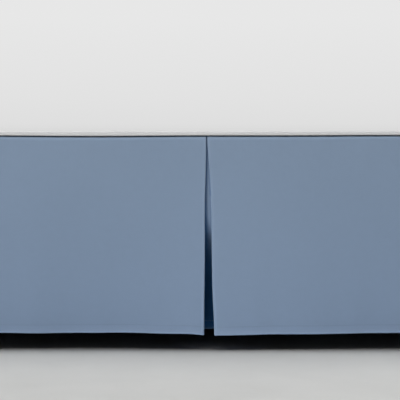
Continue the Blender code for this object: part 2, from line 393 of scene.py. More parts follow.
def mesh_object(name, points, quads, triangles=None, smooth=True):
    """A mesh object at the origin from arrays of points, quads and triangles."""
    mesh = bpy.data.meshes.new(name)
    points = np.asarray(points, np.float32).reshape(-1, 3)
    triangles = np.zeros((0, 3), int) if triangles is None else np.asarray(triangles)
    loops = np.concatenate([np.asarray(quads).ravel(), triangles.ravel()]).astype(np.int32)
    sizes = np.concatenate([np.full(len(quads), 4), np.full(len(triangles), 3)])
    starts = np.concatenate([[0], np.cumsum(sizes)[:-1]]).astype(np.int32)
    mesh.vertices.add(len(points))
    mesh.vertices.foreach_set("co", points.ravel())
    mesh.loops.add(len(loops))
    mesh.loops.foreach_set("vertex_index", loops)
    mesh.polygons.add(len(sizes))
    mesh.polygons.foreach_set("loop_start", starts)
    mesh.update(calc_edges=True)
    mesh.validate()
    if smooth:
        mesh.shade_smooth()
    obj = bpy.data.objects.new(name, mesh)
    bpy.context.scene.collection.objects.link(obj)
    return obj


def set_uv(mesh, name, uv):
    """Writes a UV map from one (u, v) for each vertex."""
    loops = np.zeros(len(mesh.loops), np.int32)
    mesh.loops.foreach_get("vertex_index", loops)
    layer = mesh.uv_layers.new(name=name)
    layer.uv.foreach_set("vector", np.asarray(uv, np.float32).reshape(-1, 2)[loops].ravel())


def set_value(mesh, name, values):
    """Writes a number for each vertex as a float attribute."""
    attribute = mesh.attributes.new(name, "FLOAT", "POINT")
    attribute.data.foreach_set("value", np.asarray(values, np.float32).ravel())


def thicken(obj, thickness, group, doubled, times):
    """Gives a sheet its wall, half on each side, and a wall times as thick on its doubled vertices."""
    obj.vertex_groups.new(name=group).add(doubled.tolist(), 1.0, "REPLACE")
    wall = obj.modifiers.new("wall", "SOLIDIFY")
    wall.thickness = thickness * times
    wall.offset = 0.0
    wall.use_even_offset = True
    wall.vertex_group = group
    wall.thickness_vertex_group = 1 / times


def drop_rows(hem):
    """Depths of a drop's rows, from the seam roll down to the hem and up again on the inside.

    Gives the depth that each row's plan is read at, how far it is set behind the cloth's own line, its shift
    in height, the number of rows in the roll, and the row above the hem's stitches. The roll and the hem's
    turn are arcs, and the hem's flap repeats the rows above.
    """
    roll = np.linspace(np.pi / 2, 0, SEAM_ROLL_STEPS + 1)[:-1]
    band = hem * np.linspace(1, 0, HEM_FLAP_STEPS + 1) ** 1.6
    even = np.linspace(0.016, DROP_LENGTH - hem - 0.006, round((DROP_LENGTH - hem - 0.02) / DROP_STEP))
    main = np.concatenate([FIRST_ROWS, even, DROP_LENGTH - band])
    turn = np.linspace(0, np.pi, HEM_TURN_STEPS + 1)[1:-1]
    depth = [0 * roll, main, 0 * turn + DROP_LENGTH, DROP_LENGTH - band[::-1]]
    round_back = HEM_TURN * (1 - np.cos(turn))
    behind = [SEAM_ROLL * (1 - np.cos(roll)), 0 * main, round_back, 0 * band + 2 * HEM_TURN]
    raised = [SEAM_ROLL * np.sin(roll), 0 * main, -HEM_TURN * np.sin(turn), 0 * band]
    depth, behind, raised = (np.concatenate(rows) for rows in (depth, behind, raised))
    return depth, behind, raised, len(roll), len(roll) + len(main) - HEM_FLAP_STEPS - 1


def drop_surface(side, hem):
    """Points of a drop and what its cloth is like there, as grids with a row for each level.

    A point is the strip's plan at its depth, moved back along the cloth's normal by its setback. Its height
    goes evenly from the seam down to the hem's line, plus the shift of its row and the hem's unevenness,
    which grows with the cube of the depth.
    """
    depth, behind, raised, above, stitched = drop_rows(hem)
    level = depth[:, None]
    run, out, layer, crease = strip(side, level)
    along = np.gradient(run, axis=1)
    away = np.gradient(out, axis=1)
    length = np.hypot(along, away)
    normal_run = -away / length
    normal_out = along / length
    in_front = 1 - np.clip(layer * 8, 0, 1)
    in_roll = np.arange(len(depth))[:, None] < above
    setback = behind[:, None] * np.where(in_roll, in_front, 1)
    top = seam_height(side, run) - 0.0011
    dip = PLEAT_DIP * lopsided_bell(run, PLEAT_DIP_REACH)
    hem_line = SEAM_HEIGHT - DROP_LENGTH - dip + UNDERLAY_LIFT * layer
    unevenness = HEM_WAVE_HEIGHT * waves(HEM_WAVES, run, side.phase)
    unevenness = unevenness + sum(rise * bell(run - place, reach) for rise, place, reach in HEM_SETS)
    unevenness = unevenness * (level / DROP_LENGTH) ** 3
    height = top + (level / DROP_LENGTH) * (hem_line + 0.0006 - top) + raised[:, None] + unevenness
    steps = np.hypot(np.diff(run, axis=1, prepend=run[:, :1]), np.diff(out, axis=1, prepend=out[:, :1]))
    return {
        "points": side.place(run - normal_run * setback, out - normal_out * setback, height),
        "run": run,
        "cut": np.broadcast_to(np.cumsum(steps, axis=1)[above], run.shape),
        "depth": np.broadcast_to(level, run.shape),
        "crease": crease,
        "layer": layer,
        "normal": side.place(normal_run, normal_out, 0 * run) - side.middle,
        "stitched": stitched,
    }


def stitch_line(name, line, outward):
    """Stitches on a line of the cloth's middle: small closed loaves at equal steps of the line's length.

    The loaf's section is a diamond width x height, full over the middle half of its length and drawn to a
    point at each end. Its axes are the line's direction, the cloth's outward way and their cross product.
    """
    line = line + outward * settings().cloth_thickness * STITCH_LIFT
    pitch = settings().stitch_pitch
    travelled = np.concatenate([[0], np.cumsum(np.linalg.norm(np.diff(line, axis=0), axis=1))])
    count = int(travelled[-1] // pitch)
    at = (np.arange(count) + 0.5) * travelled[-1] / count

    def read(table, places):
        return np.stack([np.interp(places, travelled, column) for column in table.T], axis=1)

    centre = read(line, at)
    way = read(line, at + pitch / 4) - read(line, at - pitch / 4)
    way /= np.linalg.norm(way, axis=1, keepdims=True)
    out = read(outward, at)
    out -= way * (out * way).sum(1, keepdims=True)
    out /= np.linalg.norm(out, axis=1, keepdims=True)
    across = np.cross(way, out)
    length, width, height = STITCH
    ring = [(0, width / 2, 0), (0, 0, height / 2), (0, -width / 2, 0), (0, 0, -height / 2)]
    template = [(-length / 2, 0, 0)]
    template += [(place, a, b) for place in (-length / 4, length / 4) for _, a, b in ring]
    template = np.array(template + [(length / 2, 0, 0)])
    axes = np.stack([way, across, out], axis=1)
    points = centre[:, None, :] + np.sum(template[None, :, :, None] * axes[:, None], axis=2)
    following = ((0, 1), (1, 2), (2, 3), (3, 0))
    quads = np.array([(1 + k, 1 + n, 5 + n, 5 + k) for k, n in following])
    tips = np.array([(0, 1 + n, 1 + k) for k, n in following] + [(9, 5 + k, 5 + n) for k, n in following])
    shift = np.arange(count)[:, None, None] * len(template)
    return mesh_object(name, points, (quads + shift).reshape(-1, 4), (tips + shift).reshape(-1, 3))


# Shader node groups and materials


def feed(tree, node, values):
    """Sets each input that the table names to its value, or links it to the socket given."""
    for key, value in values.items():
        if isinstance(value, bpy.types.NodeSocket):
            tree.links.new(value, node.inputs[key])
        else:
            node.inputs[key].default_value = value


def add(tree, kind, values=None):
    """A new node with its inputs set or linked."""
    node = tree.nodes.new("ShaderNode" + kind)
    feed(tree, node, values or {})
    return node


def maths(tree, operation, *values):
    """The result of a sum on numbers or sockets."""
    node = add(tree, "Math", dict(enumerate(values)))
    node.operation = operation
    return node.outputs[0]


def spread(tree, value, low, high, to_low, to_high):
    """A value's way from low to high, carried over to the way from to_low to to_high."""
    ends = {"From Min": low, "From Max": high, "To Min": to_low, "To Max": to_high}
    return add(tree, "MapRange", {"Value": value, **ends}).outputs["Result"]


def noise(tree, vector, scale, detail, roughness):
    values = {"Vector": vector, "Scale": scale, "Detail": detail, "Roughness": roughness}
    return add(tree, "TexNoise", values).outputs["Fac"]


def object_place(tree):
    return add(tree, "TexCoord").outputs["Object"]


def split_axes(tree, vector):
    return add(tree, "SeparateXYZ", {0: vector}).outputs


def scaled(tree, colour, factor):
    """A plain colour or a socket times a factor."""
    node = add(tree, "VectorMath")
    node.operation = "SCALE"
    feed(tree, node, {0: colour, "Scale": factor})
    return node.outputs[0]


def opaque(colour):
    return (*colour, 1.0)


def mix_colours(tree, share, first, second):
    """The first colour, moved towards the second one by share; each is a colour with alpha or a socket."""
    node = tree.nodes.new("ShaderNodeMix")
    node.data_type = "RGBA"
    number = {slot.identifier: place for place, slot in enumerate(node.inputs)}
    feed(tree, node, {number["Factor_Float"]: share, number["A_Color"]: first, number["B_Color"]: second})
    return next(slot for slot in node.outputs if slot.identifier == "Result_Color")


def value_of(tree, name):
    """The number that the mesh keeps under a name."""
    node = add(tree, "Attribute")
    node.attribute_name = name
    return node.outputs["Fac"]


def bump(tree, height, distance, strength):
    values = {"Height": height, "Distance": distance, "Strength": strength}
    return add(tree, "Bump", values).outputs["Normal"]


def new_group(name, inputs, outputs):
    """An empty shader node group, the sockets of its inputs and the node that takes its outputs."""
    group = bpy.data.node_groups.new(name, "ShaderNodeTree")
    for way, sockets in (("INPUT", inputs), ("OUTPUT", outputs)):
        for label, kind, *default in sockets:
            made = group.interface.new_socket(name=label, in_out=way, socket_type="NodeSocket" + kind)
            if default:
                made.default_value = default[0]
    return group, group.nodes.new("NodeGroupInput").outputs, group.nodes.new("NodeGroupOutput")


def use_group(tree, make, values):
    """The outputs of a node group in a tree; the group is made when it is first used."""
    node = tree.nodes.new("ShaderNodeGroup")
    node.node_tree = make()
    feed(tree, node, values)
    return node.outputs


def weave_group():
    """Plain weave: two crossed sets of round threads that go over and under, with slubs.

    A thread's height is |sin(pi u n)| where the warp lies on top and |sin(pi v n)| where the weft does, and a
    checker made of the product of the two sines says which. The slubs are noise that is added to it.
    """
    name = "Plain weave"
    if name in bpy.data.node_groups:
        return bpy.data.node_groups[name]
    inputs = (("Vector", "Vector"), ("Threads per metre", "Float", 1800.0), ("Slub scale", "Float", 90.0))
    group, given, result = new_group(name, inputs, (("Height", "Float"), ("Thread tone", "Float")))
    axes = split_axes(group, given["Vector"])
    turns = maths(group, "MULTIPLY", given["Threads per metre"], math.pi)
    warp, weft = (maths(group, "SINE", maths(group, "MULTIPLY", axes[axis], turns)) for axis in "XY")
    side = spread(group, maths(group, "MULTIPLY", warp, weft), -0.2, 0.2, 0.0, 1.0)
    warp_part = maths(group, "MULTIPLY", maths(group, "ABSOLUTE", warp), side)
    weft_part = maths(group, "MULTIPLY", maths(group, "ABSOLUTE", weft), maths(group, "SUBTRACT", 1.0, side))
    threads = maths(group, "ADD", warp_part, weft_part)
    slubs = noise(group, given["Vector"], given["Slub scale"], 3.0, 0.6)
    height = maths(group, "ADD", threads, maths(group, "MULTIPLY", slubs, 0.8))
    tone = maths(group, "ADD", *(maths(group, "MULTIPLY", part, 0.5) for part in (threads, slubs)))
    feed(group, result, {"Height": height, "Thread tone": tone})
    return group


def tone_group():
    """Cloth tone: a colour lightened and darkened by broad soft patches and by the threads.

    The colour is scaled by 1 + 2 x patch share x (noise - 0.5) + thread share x (thread tone - 0.5).
    """
    name = "Cloth tone"
    if name in bpy.data.node_groups:
        return bpy.data.node_groups[name]
    inputs = (
        ("Vector", "Vector"),
        ("Colour", "Color", (0.5, 0.5, 0.5, 1.0)),
        ("Patch scale", "Float", 3.0),
        ("Patch share", "Float", 0.05),
        ("Thread tone", "Float", 0.5),
        ("Thread share", "Float", 0.08),
    )
    group, given, result = new_group(name, inputs, (("Colour", "Color"),))
    patches = noise(group, given["Vector"], given["Patch scale"], 2.0, 0.45)
    twice = maths(group, "MULTIPLY", given["Patch share"], 2.0)
    by_patch = maths(group, "MULTIPLY", maths(group, "SUBTRACT", patches, 0.5), twice)
    thread = maths(group, "SUBTRACT", given["Thread tone"], 0.5)
    by_thread = maths(group, "MULTIPLY", thread, given["Thread share"])
    factor = maths(group, "ADD", 1.0, maths(group, "ADD", by_patch, by_thread))
    feed(group, result, {"Colour": scaled(group, given["Colour"], factor)})
    return group


def new_material(name):
    material = bpy.data.materials.new(name)
    material.use_nodes = True
    return material, material.node_tree


def dress(material, values):
    """Feeds the material's Principled shader."""
    tree = material.node_tree
    feed(tree, tree.nodes["Principled BSDF"], values)
    return material


def cloth_material(name, colour, threads, patch_share, paints_drop_light_and_tone):
    """Woven cloth on the UV map that holds its cut lengths in metres, darker with painted shade where the
    mesh says seam.

    A drop's cloth also goes from a little darker at its seam to lighter and bluer at its hem, takes a painted
    highlight on its folds and its hem's edge, is a little lighter over the hem band, and turns deep navy as
    painted shade inside a pleat, the colour of light that its own blue has filtered; the map and numbers kept
    on the mesh say where.
    """
    material, tree = new_material(name)
    uv = add(tree, "UVMap")
    uv.uv_map = "cut"
    place = uv.outputs["UV"]
    weave = use_group(tree, weave_group, {"Vector": place, "Threads per metre": threads, "Slub scale": 70.0})
    plain = opaque(colour)
    if paints_drop_light_and_tone:
        # Colour goes from a little darker and warmer at the seam to lighter and bluer at the hem, blended by
        # depth
        fallen = spread(tree, split_axes(tree, place)["Y"], 0.0, -DROP_LENGTH, 0.0, 1.0)
        ends = [opaque(c * f for c, f in zip(colour, fade)) for fade in (TONE_AT_SEAM, TONE_AT_HEM)]
        plain = mix_colours(tree, fallen, *ends)
    values = {"Vector": place, "Colour": plain, "Patch scale": 3.5, "Patch share": patch_share}
    values.update({"Thread tone": weave["Thread tone"], "Thread share": 0.10})
    out = use_group(tree, tone_group, values)["Colour"]
    if paints_drop_light_and_tone:
        # Painted highlight on folds and the hem's edge, a lighter hem band, and painted shade in the seam
        crease, hem, seam = (maths(tree, "MULTIPLY", value_of(tree, key), change) for key, change in PAINTED_LIGHT_AND_HEM_TONE)
        factor = maths(tree, "ADD", 1.0, maths(tree, "ADD", crease, maths(tree, "ADD", hem, seam)))
        # Painted shade: deep navy mixed in where the mesh's inside value puts the pleat's shade
        navy = opaque(c * f for c, f in zip(colour, PAINTED_PLEAT_SHADE))
        out = mix_colours(tree, value_of(tree, "inside"), scaled(tree, out, factor), navy)
    else:
        # The deck's cloth is darkened by the painted shade kept under the name seam
        out = scaled(tree, out, maths(tree, "SUBTRACT", 1.0, value_of(tree, "seam")))
    values = {"Base Color": out, "Roughness": 0.88, "Specular IOR Level": 0.25}
    values.update({"Sheen Weight": 0.12, "Sheen Roughness": 0.5})
    values["Normal"] = bump(tree, weave["Height"], 0.00012, 0.45)
    return dress(material, values)


def thread_material(name, colour):
    """Sewing thread: two plies that wind round each stitch, seen as fine slanting lines."""
    material, tree = new_material(name)
    wave = add(tree, "TexWave", {"Vector": object_place(tree), "Scale": 700.0, "Distortion": 0.6})
    wave.bands_direction = "DIAGONAL"
    plies = wave.outputs["Fac"]
    paint = scaled(tree, colour, spread(tree, plies, 0.0, 1.0, 0.85, 1.08))
    return dress(material, {"Base Color": paint, "Roughness": 0.6, "Normal": bump(tree, plies, 0.0001, 0.5)})


def cover_material(colour):
    """Woven grey cover on the sides and a black dust cloth on the underside, told apart by their height."""
    material, tree = new_material("base cover")
    place = object_place(tree)
    axes = split_axes(tree, place)
    around = add(tree, "CombineXYZ", {"X": maths(tree, "ADD", axes["X"], axes["Y"]), "Y": axes["Z"]})
    values = {"Vector": around.outputs[0], "Threads per metre": 620.0, "Slub scale": 40.0}
    weave = use_group(tree, weave_group, values)
    values = {"Vector": place, "Colour": opaque(colour), "Patch scale": 5.0, "Patch share": 0.05}
    values.update({"Thread tone": weave["Thread tone"], "Thread share": 0.3})
    tone = use_group(tree, tone_group, values)["Colour"]
    under = spread(tree, axes["Z"], BASE_LO.z + 0.0005, BASE_LO.z + 0.0012, 0.06, 1.0)
    values = {"Base Color": scaled(tree, tone, under), "Roughness": 0.9, "Specular IOR Level": 0.2}
    values["Normal"] = bump(tree, weave["Height"], 0.0004, 0.6)
    return dress(material, values)


def wood_material(colour):
    """Turned beech: growth rings along the leg, with short dark flecks."""
    material, tree = new_material("beech")
    drawn_out = add(tree, "Mapping", {"Vector": object_place(tree), "Scale": (1.0, 1.0, 0.08)})
    grain = noise(tree, drawn_out.outputs["Vector"], 60.0, 4.0, 0.6)
    fleck = noise(tree, drawn_out.outputs["Vector"], 420.0, 2.0, 0.5)
    rings = spread(tree, grain, 0.3, 0.7, 0.78, 1.18)
    factor = maths(tree, "ADD", rings, spread(tree, fleck, 0.62, 0.75, 0.0, -0.22))
    values = {"Base Color": scaled(tree, colour, factor)}
    values["Roughness"] = spread(tree, grain, 0.0, 1.0, 0.38, 0.55)
    values["Normal"] = bump(tree, grain, 0.0004, 0.25)
    return dress(material, values)


def glide_material():
    """Dark plastic with a fine speckle."""
    material, tree = new_material("dark glide")
    level = spread(tree, noise(tree, object_place(tree), 900.0, 2.0, 0.5), 0.3, 0.7, 0.025, 0.05)
    paint = add(tree, "CombineColor", {"Red": level, "Green": level, "Blue": level})
    return dress(material, {"Base Color": paint.outputs[0], "Roughness": 0.55})


def floor_material(colour):
    """Plain pale floor with a faint soft mottle, which melts into the backdrop far from the bed.

    Its own colour gives way to the backdrop's as the distance from the origin goes from the near to the far
    edge of FLOOR_FADE. Only what the camera sees is changed by that, not the light on the bed.
    """
    material, tree = new_material("pale floor")
    place = object_place(tree)
    mottle = spread(tree, noise(tree, place, 9.0, 4.0, 0.55), 0.2, 0.8, 0.96, 1.04)
    away = add(tree, "VectorMath", {0: place})
    away.operation = "LENGTH"
    far = spread(tree, away.outputs["Value"], *FLOOR_FADE, 0.0, 1.0)
    far.node.interpolation_type = "SMOOTHSTEP"
    far = maths(tree, "MULTIPLY", far, add(tree, "LightPath").outputs["Is Camera Ray"])
    near = maths(tree, "MULTIPLY", mottle, maths(tree, "SUBTRACT", 1.0, far))
    black, horizon = opaque((0.0,) * 3), opaque((BACKDROP[0][1],) * 3)
    values = {"Base Color": scaled(tree, colour, near), "Roughness": 0.7, "Specular IOR Level": 0.3}
    values.update({"Emission Color": mix_colours(tree, far, black, horizon), "Emission Strength": 1.0})
    return dress(material, values)


def finish_piece(obj, material, slot_name, *nodes):
    """Gives a piece its material, lets it ride on the part, and hides the nodes it stands for. The slot name
    is not used.
    """
    obj.data.materials.append(material)
    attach(obj, "root")
    if nodes:
        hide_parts(*nodes)


class SKIRT_OT_hang_drops(bpy.types.Operator):
    """Hangs the three drops, each one strip of cloth with an inverted box pleat and a turned-up hem"""

    bl_idname = "skirt.hang_drops"
    bl_label = "Hang the drops"

    def execute(self, context):
        hem = settings().hem_depth
        cloth = cloth_material("slate blue cloth", settings().blue, 1700.0, 0.03, True)
        for side in SIDES:
            grid = drop_surface(side, hem)
            depth = grid["depth"]
            obj = mesh_object(side.name + "_drop_cloth", grid["points"], grid_faces(*depth.shape))
            set_uv(obj.data, "cut", np.stack([grid["cut"], -depth], axis=-1))
            # Painted highlight along the hem's fold and, growing towards the hem, on the pleat's folds, kept
            # as crease
            fold = bell(depth - DROP_LENGTH, 0.0022)
            pressed = grid["crease"] * (0.35 + 0.65 * (depth / DROP_LENGTH) ** 3)
            set_value(obj.data, "crease", np.maximum(pressed, fold))
            set_value(obj.data, "hem", np.clip((depth - (DROP_LENGTH - hem)) * 1500, 0, 1))
            # Painted shade in the seam under the deck's rim, kept under the name seam
            set_value(obj.data, "seam", bell(depth, 0.0018))
            # Painted shade of the pleat and painted shadow of its left panel, kept under the name inside
            shade = painted_pleat_shade(grid["run"], depth, grid["layer"])
            # A painted highlight along the hem's fold lightens the pleat's painted shade by a fifth
            set_value(obj.data, "inside", shade * (1 - 0.2 * fold))
            doubled = np.zeros(depth.shape, bool)
            doubled[:, :3] = True
            doubled[:, -3:] = True
            thicken(obj, settings().cloth_thickness, "side hem", np.flatnonzero(doubled), SIDE_HEM_WALL)
            finish_piece(obj, cloth, "skirt_cloth", side.name + "_drop")
        return {"FINISHED"}


class SKIRT_OT_sew_hems(bpy.types.Operator):
    """Sews the line of stitches that holds each hem"""

    bl_idname = "skirt.sew_hems"
    bl_label = "Sew the hems"

    def execute(self, context):
        thread = thread_material("blue thread", tuple(0.9 * c for c in settings().blue))
        share = 0.2
        for side in SIDES:
            grid = drop_surface(side, settings().hem_depth)
            row = grid["stitched"]
            line = grid["points"][row] * (1 - share) + grid["points"][row + 1] * share
            obj = stitch_line(side.name + "_hem_stitches", line, grid["normal"][row])
            finish_piece(obj, thread, "skirt_cloth")
        return {"FINISHED"}


def with_creases(even, creases):
    """Grid lines at even steps, with the lines nearest to a crease replaced by close ones across it."""
    creases = np.array(creases)[:, None]
    away = np.min(np.abs(even - creases), axis=0)
    return np.sort(np.concatenate([even[away > 0.020], (creases + CREASE_LINES).ravel()]))


def deck_creases(x, y):
    """How sharp a crease of the folded cloth is at x and y: a bell across each line, uneven along it."""
    reach = DECK_CREASE[1]
    total = 0
    for n, line in enumerate(DECK_CREASES_ACROSS):
        total = total + bell(x - line, reach) * (0.7 + 0.3 * np.sin(9 * y + n))
    for n, line in enumerate(DECK_CREASES_ALONG):
        total = total + bell(y - line, reach) * (0.7 + 0.3 * np.sin(11 * x + 2 * n))
    return total


def deck_height(x, y):
    """Height of the flat deck's middle: it lies on the base, and wrinkles and creases stand up from it.

    A wrinkle is a bent sine wave. The sum t of wrinkles and creases becomes (t + square root of (t squared +
    0.3 mm squared)) / 2, so nothing goes below the level of the cloth that rests on the base, and all of it
    fades out towards the rim.
    """
    room = np.minimum(HALF_WIDTH - np.abs(x), np.minimum(HALF_LENGTH + y, HALF_LENGTH - y + 0.1))
    free = np.clip(room / 0.12, 0, 1)
    total = 0
    for height, length_x, length_y, turn in DECK_WRINKLES:
        bend = 1.4 * np.sin(5.1 * y + turn)
        total = total + height * np.sin(2 * np.pi * (x / length_x + y / length_y) + turn + bend)
    total = total + DECK_CREASE[0] * deck_creases(x, y)
    lifted = (total + np.hypot(total, 0.0003)) / 2
    return DECK_LEVEL + free * (lifted - 0.0004)


class SKIRT_OT_lay_deck(bpy.types.Operator):
    """Lays the deck cloth on the base, with its rim rolled over the edge on three sides"""

    bl_idname = "skirt.lay_deck"
    bl_label = "Lay the deck"

    def execute(self, context):
        thickness = settings().cloth_thickness
        inner_x = HALF_WIDTH + PANEL_FACE_OUT - DECK_RIM
        inner_y = HALF_LENGTH + PANEL_FACE_OUT - DECK_RIM
        x = with_creases(np.linspace(-inner_x, inner_x, 99), DECK_CREASES_ACROSS)
        y = with_creases(np.linspace(-inner_y, HALF_LENGTH, 131), DECK_CREASES_ALONG)
        points, quads, triangles, ids = self.surface(x, y, thickness)
        obj = mesh_object("deck_cloth", points, quads, triangles)
        set_uv(obj.data, "cut", points[:, :2])
        # Painted shade, kept under the name seam: darker along the deck's creases and on its flat border and
        # rim's top
        shade = DECK_CREASE_SHADE * deck_creases(points[:, 0], points[:, 1] - BASE_CENTRE_Y)
        for ring, rim_shade in zip(ids, DECK_RIM_SHADE):
            shade[ring] = rim_shade
        set_value(obj.data, "seam", shade)
        head = np.flatnonzero(points[:, 1] > BASE_CENTRE_Y + HALF_LENGTH - 0.012)
        thicken(obj, thickness, "head hem", head, HEAD_HEM_WALL)
        white = cloth_material("white deck cloth", settings().white, 1400.0, 0.035, False)
        finish_piece(obj, white, "deck_cloth", "deck")
        self.sew(x, y, inner_x, inner_y)
        return {"FINISHED"}

    def surface(self, x, y, thickness):
        """The flat grid, and rings that leave its left, foot and right edges and roll over the base's edge.

        A ring is the edge's points moved outwards and set to a height. The rim's shoulder is a quarter circle
        down from the flat, and below it the rim turns in to the seam on another quarter circle.
        """
        columns, rows = len(x), len(y)
        grid_x, grid_y = np.meshgrid(x, y)
        flat = np.stack([grid_x, grid_y + BASE_CENTRE_Y, deck_height(grid_x, grid_y)], axis=-1).reshape(-1, 3)
        index = np.arange(rows * columns).reshape(rows, columns)
        turn = np.linspace(0, np.pi / 2, DECK_CORNER_STEPS + 2)[1:-1]
        left = np.stack([-1 + 0 * y, 0 * y], axis=1)
        foot = np.stack([0 * x, -1 + 0 * x], axis=1)
        corner_left = np.stack([-np.cos(turn), -np.sin(turn)], axis=1)
        corner_right = np.stack([np.sin(turn), -np.cos(turn)], axis=1)
        ways = np.concatenate([left, corner_left, foot, corner_right, -left])
        corners = (np.full(DECK_CORNER_STEPS, corner) for corner in (index[0, 0], index[0, -1]))
        inner = np.concatenate([index[::-1, 0], next(corners), index[0], next(corners), index[:, -1]])
        seam = np.full(len(inner), SEAM_HEIGHT)
        seam[:rows] = seam_height(LEFT, -y[::-1])
        seam[rows + DECK_CORNER_STEPS : rows + DECK_CORNER_STEPS + columns] = seam_height(FOOT, x)
        seam[-rows:] = seam_height(RIGHT, y)
        radius = 0.0010
        reach = DECK_RIM - thickness / 2 + 0.0004
        shoulder = reach - 0.0005
        tuck = 0.0012
        rim = []
        for a in np.linspace(0, np.pi / 2, 7)[1:]:
            rim.append((shoulder - radius * (1 - np.sin(a)), DECK_LEVEL - radius * (1 - np.cos(a))))
        for a in np.linspace(0, np.pi / 2, 5):
            rim.append((reach - tuck * (1 - np.cos(a)), seam + 0.0004 + tuck * (1 - np.sin(a))))
        rings = []
        for offset, height in rim:
            ring = flat[inner]
            ring[:, :2] += ways * offset
            ring[:, 2] = height
            rings.append(ring)
        stations = np.arange(len(inner))
        ids = [inner] + [len(flat) + k * len(inner) + stations for k in range(len(rings))]
        quads = [np.roll(grid_faces(rows, columns)[:, ::-1], 1, axis=1)]
        for upper, lower in zip(ids[1:], ids[2:]):
            quads.append(np.stack([upper[:-1], lower[:-1], lower[1:], upper[1:]], axis=-1))
        first = np.stack([ids[0][:-1], ids[1][:-1], ids[1][1:], ids[0][1:]], axis=-1)
        whole = first[:, 0] != first[:, 3]
        quads.append(first[whole])
        return np.concatenate([flat] + rings), np.concatenate(quads), first[~whole][:, :3], ids

    def sew(self, x, y, inner_x, inner_y):
        """A line of white stitches round the deck, just inside its rim."""
        side_x = inner_x - 0.004
        foot_y = -inner_y + 0.004
        along = y[y > foot_y]
        across = x[np.abs(x) < side_x]
        path_x = np.concatenate([-side_x + 0 * along, across, side_x + 0 * along])
        path_y = np.concatenate([along[::-1], foot_y + 0 * across, along])
        line = np.column_stack([path_x, path_y + BASE_CENTRE_Y, deck_height(path_x, path_y)])
        obj = stitch_line("deck_stitches", line, np.tile((0.0, 0.0, 1.0), (len(line), 1)))
        finish_piece(obj, thread_material("white thread", (0.8, 0.8, 0.79)), "deck_cloth")


def rounded_outline(half_x, half_y, radius, corner_steps, side_steps):
    """A closed rounded rectangle: for each station a base point and the way out, so that a point at reach r
    from the base lies on the outline inset by radius - r."""
    bases, ways = [], []
    corners = ((1, -1, -90), (1, 1, 0), (-1, 1, 90), (-1, -1, 180))
    for (sx, sy, start), (nx, ny, _) in zip(corners, corners[1:] + corners[:1]):
        centre = np.array((sx * (half_x - radius), sy * (half_y - radius)))
        following = np.array((nx * (half_x - radius), ny * (half_y - radius)))
        angle = np.radians(start + np.linspace(0, 90, corner_steps + 1))
        way = np.stack([np.cos(angle), np.sin(angle)], axis=1)
        bases.append(np.tile(centre, (len(angle), 1)))
        ways.append(way)
        share = np.linspace(0, 1, side_steps + 1)[1:-1, None]
        bases.append(centre + share * (following - centre))
        ways.append(np.tile(way[-1], (side_steps - 1, 1)))
    return np.concatenate(bases), np.concatenate(ways)


def ringed_solid(name, rings, x, y, sharp):
    """A closed mesh from rings that go up: quads join each ring to the next one, and triangles join the
    lowest and the highest ring to a point at x, y and the ring's own height."""
    rows, count = rings.shape[:2]
    ids = np.arange(rows * count).reshape(rows, count)
    following = np.roll(ids, -1, axis=1)
    quads = np.stack([ids[:-1], following[:-1], following[1:], ids[1:]], axis=-1).reshape(-1, 4)
    bottom = np.stack([following[0], ids[0], np.full(count, rows * count)], axis=-1)
    top = np.stack([ids[-1], following[-1], np.full(count, rows * count + 1)], axis=-1)
    ends = [(x, y, rings[0, 0, 2]), (x, y, rings[-1, 0, 2])]
    points = np.concatenate([rings.reshape(-1, 3), ends])
    obj = mesh_object(name, points, quads, np.concatenate([bottom, top]))
    obj.data.set_sharp_from_angle(angle=math.radians(sharp))
    return obj


class SKIRT_OT_cover_base(bpy.types.Operator):
    """Covers the bed base: stretched cloth on its sides with a rolled seam along each long edge"""

    bl_idname = "skirt.cover_base"
    bl_label = "Cover the base"

    def execute(self, context):
        radius = 0.014
        edge = 0.008
        seam = 0.0022
        low, high = BASE_LO.z, BASE_HI.z
        bend = np.linspace(0, np.pi / 2, 6)
        profile = [(-edge + edge * math.sin(a), low + edge * (1 - math.cos(a))) for a in bend]
        profile += [(-seam, low + 0.0112), (-seam, low + 0.0126), (0.0, low + 0.0155)]
        profile += [(0.0, low + share * (high - low)) for share in (0.25, 0.5, 0.75)]
        profile += [(0.0, high - 0.0155), (-seam, high - 0.0126), (-seam, high - 0.0112)]
        profile += [(-edge + edge * math.cos(a), high - edge * (1 - math.sin(a))) for a in bend]
        bases, ways = rounded_outline(HALF_WIDTH, HALF_LENGTH, radius, 8, 60)
        rings = []
        for inset, height in profile:
            rings.append(np.column_stack([bases + ways * (radius + inset), np.full(len(bases), height)]))
        rings = np.stack(rings)
        rings[:, :, 1] += BASE_CENTRE_Y
        obj = ringed_solid("bed_base_cover", rings, 0, BASE_CENTRE_Y, 50)
        finish_piece(obj, cover_material(settings().cover), "base_cover", "bed_base")
        return {"FINISHED"}


